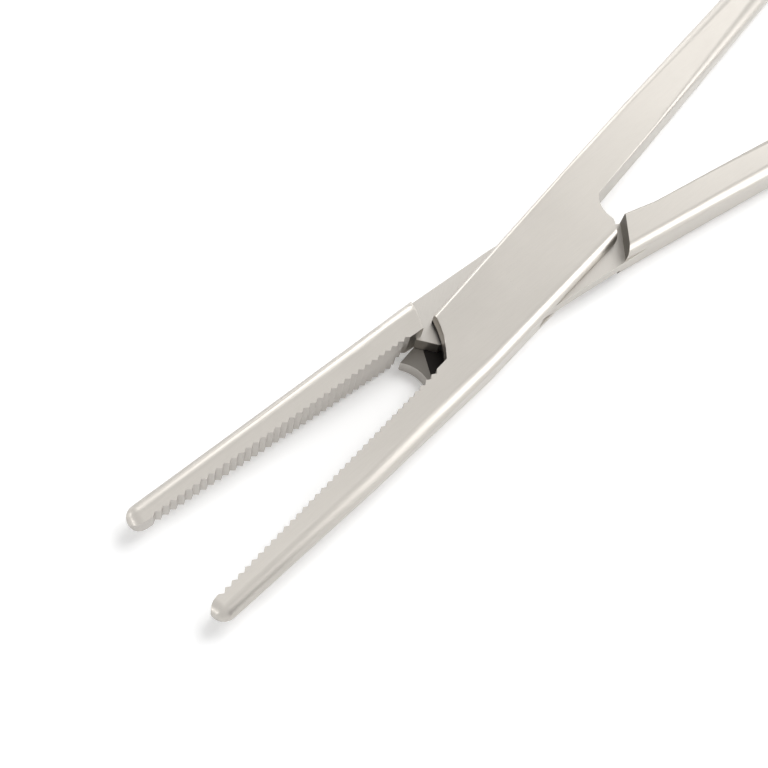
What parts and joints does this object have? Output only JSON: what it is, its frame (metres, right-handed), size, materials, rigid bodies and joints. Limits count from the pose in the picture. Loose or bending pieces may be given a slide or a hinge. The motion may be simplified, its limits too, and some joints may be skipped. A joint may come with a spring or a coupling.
{
  "type": "mosquito forceps",
  "caption": "Slim ring-handled clamping forceps with fine serrated jaws, a box lock, ratchet bars and two finger rings.",
  "frame": {"origin": "the pivot's axis at the back face of the box lock", "axes": "+X from the pivot towards the finger rings, +Y towards the box half's ring, +Z along the pivot out of the front face"},
  "size_m": [0.1227, 0.0726, 0.0036],
  "materials": {
    "forged_steel": "satin polished stainless steel",
    "pin_steel": "ground flush and polished stainless steel"
  },
  "bodies": {
    "box_body": {"box_half": "forged_steel", "pivot_pin": "pin_steel"},
    "through_body": {"through_half": "forged_steel"}
  },
  "joints": [
    {"name": "box_lock_pivot", "type": "hinge", "parent": "box_body", "child": "through_body", "pos_m": [0, 0, 0], "axis": [0, 0, -1], "range_deg": [-11.46, 46]}
  ]
}
